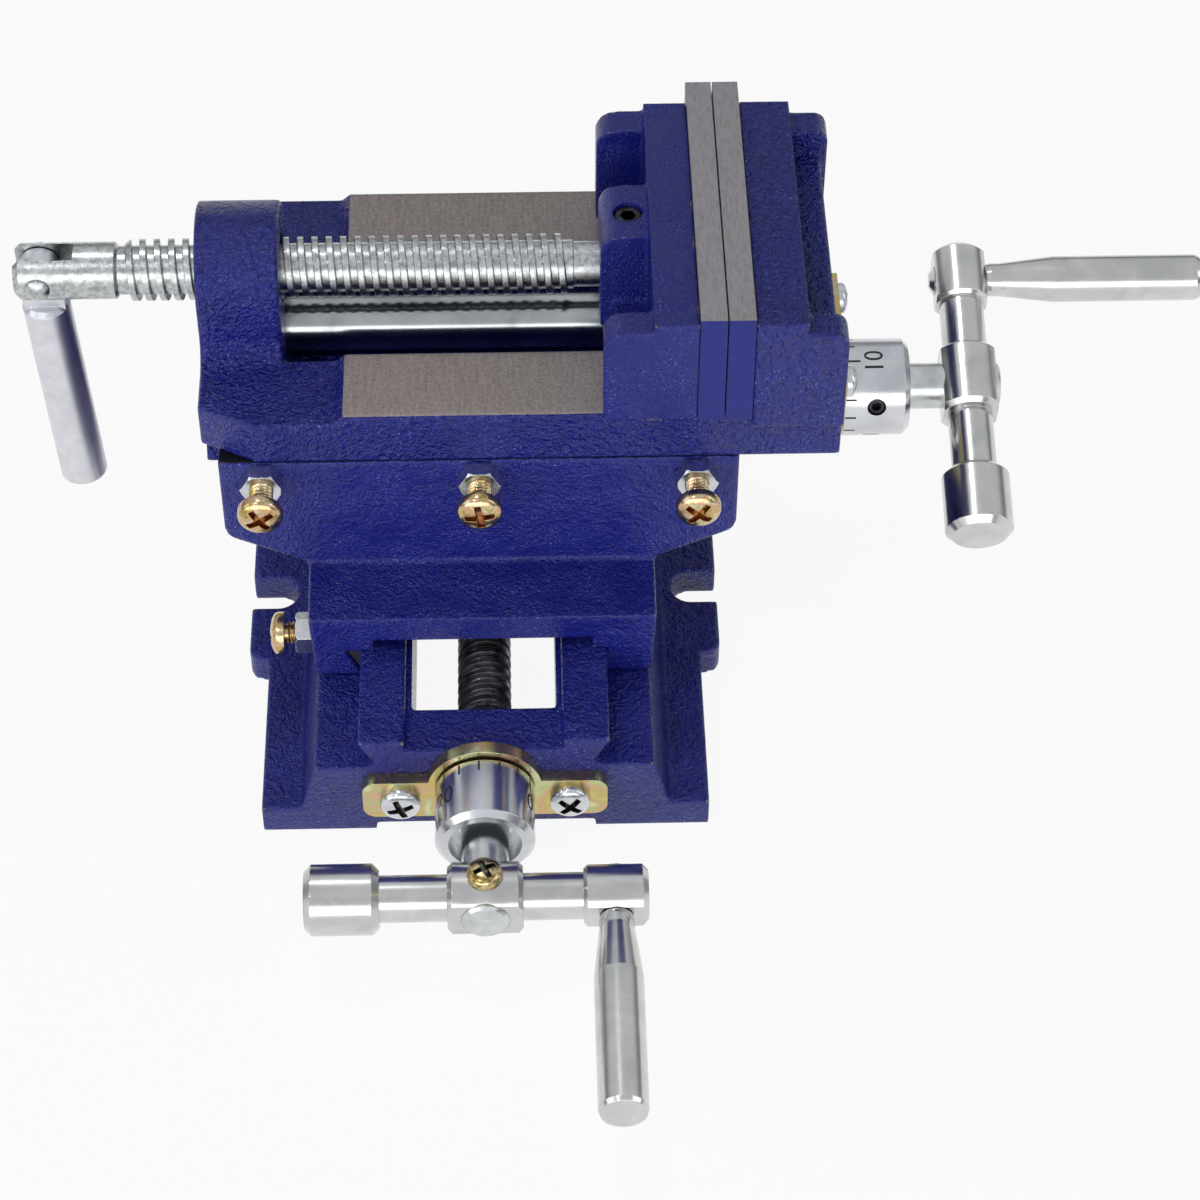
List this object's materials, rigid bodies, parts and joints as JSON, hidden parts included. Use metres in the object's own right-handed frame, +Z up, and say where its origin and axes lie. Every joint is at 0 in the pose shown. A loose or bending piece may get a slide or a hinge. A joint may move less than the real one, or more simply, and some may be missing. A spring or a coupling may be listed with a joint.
{
  "type": "cross slide vise",
  "caption": "Machine vise on two crossed dovetail slides, with hand cranks, graduated dials, a clamp screw with a hinged handle and a slotted base.",
  "frame": {"origin": "middle of the underside of the base, on the bench, halfway between the two bolt slots", "axes": "+X along the clamp screw towards the fixed jaw, +Y along the lower slide away from the operator, +Z up"},
  "size_m": [0.2577, 0.2129, 0.1113],
  "materials": {
    "blue_enamel": "gloss blue enamel on rough sand-cast iron",
    "ground_iron": "ground iron and steel, warm grey",
    "bright_zinc": "bright zinc plate on turned steel",
    "yellow_chromate": "yellow chromate on zinc-plated steel",
    "black_oxide": "black oxide on steel",
    "bronze": "cast bronze"
  },
  "bodies": {
    "base": {"base_casting": "blue_enamel", "lower_retaining_plate": "yellow_chromate", "lower_plate_screws": "bright_zinc"},
    "lower_screw": {"lower_lead_screw": "black_oxide", "lower_dial": "bright_zinc", "lower_dial_set_screw": "black_oxide", "lower_crank_arm": "bright_zinc", "lower_crank_screw": "yellow_chromate", "lower_grip_pin": "bright_zinc"},
    "lower_grip": {"lower_crank_grip": "bright_zinc"},
    "saddle": {"saddle_casting": "blue_enamel", "lower_gib": "ground_iron", "lower_gib_screws": "yellow_chromate", "lower_gib_nuts": "bright_zinc", "upper_gib": "ground_iron", "upper_gib_screws": "yellow_chromate", "upper_gib_nuts": "bright_zinc", "lower_feed_nut": "bronze", "lower_nut_screw": "black_oxide", "upper_feed_nut": "bronze"},
    "vise_body": {"vise_body": "blue_enamel", "fixed_jaw_plate": "ground_iron", "fixed_jaw_screws": "black_oxide", "guide_bar": "bright_zinc", "guide_bar_pin": "bright_zinc", "upper_retaining_plate": "yellow_chromate", "upper_plate_screws": "bright_zinc"},
    "upper_screw": {"upper_lead_screw": "black_oxide", "upper_dial": "bright_zinc", "upper_dial_set_screw": "black_oxide", "upper_crank_arm": "bright_zinc", "upper_crank_screw": "yellow_chromate", "upper_grip_pin": "bright_zinc"},
    "upper_grip": {"upper_crank_grip": "bright_zinc"},
    "moving_jaw": {"moving_jaw": "blue_enamel", "moving_jaw_plate": "ground_iron", "moving_jaw_screws": "black_oxide", "jaw_set_screw": "black_oxide"},
    "clamp_screw": {"clamp_screw": "bright_zinc", "handle_pin": "bright_zinc"},
    "clamp_handle": {"clamp_handle": "bright_zinc"}
  },
  "joints": [
    {"name": "lower_crank", "type": "hinge", "parent": "base", "child": "lower_screw", "pos_m": [0, -0.0628, 0.0165], "axis": [0, 1, 0], "range_deg": [-1440, 5400]},
    {"name": "lower_grip_spin", "type": "hinge", "parent": "lower_screw", "child": "lower_grip", "pos_m": [0.0269, -0.12, 0.0165], "axis": [0, 1, 0], "continuous": true},
    {"name": "saddle_slide", "type": "slide", "parent": "base", "child": "saddle", "axis": [0, 1, 0], "range_m": [-0.045, 0.012]},
    {"name": "body_slide", "type": "slide", "parent": "saddle", "child": "vise_body", "axis": [1, 0, 0], "range_m": [-0.012, 0.024]},
    {"name": "upper_crank", "type": "hinge", "parent": "vise_body", "child": "upper_screw", "pos_m": [0.0754, 0.0138, 0.0561], "axis": [1, 0, 0], "range_deg": [-1440, 2880]},
    {"name": "upper_grip_spin", "type": "hinge", "parent": "upper_screw", "child": "upper_grip", "pos_m": [0.14, 0.03966, 0.06352], "axis": [1, 0, 0], "continuous": true},
    {"name": "jaw_slide", "type": "slide", "parent": "vise_body", "child": "moving_jaw", "axis": [-1, 0, 0], "range_m": [0, 0.06]},
    {"name": "clamp_turn", "type": "hinge", "parent": "moving_jaw", "child": "clamp_screw", "pos_m": [0, 0.0138, 0.0934], "axis": [-1, 0, 0], "range_deg": [0, 7200]},
    {"name": "handle_swing", "type": "hinge", "parent": "clamp_screw", "child": "clamp_handle", "pos_m": [-0.0918, 0.0138, 0.0934], "axis": [0, 1, 0], "range_deg": [0, 180]}
  ],
  "couplings": [
    {"joint": "lower_crank", "follows": "saddle_slide", "rad_per_m": -2094.4},
    {"joint": "upper_crank", "follows": "body_slide", "rad_per_m": 2094.4},
    {"joint": "clamp_turn", "follows": "jaw_slide", "rad_per_m": 2094.4}
  ]
}
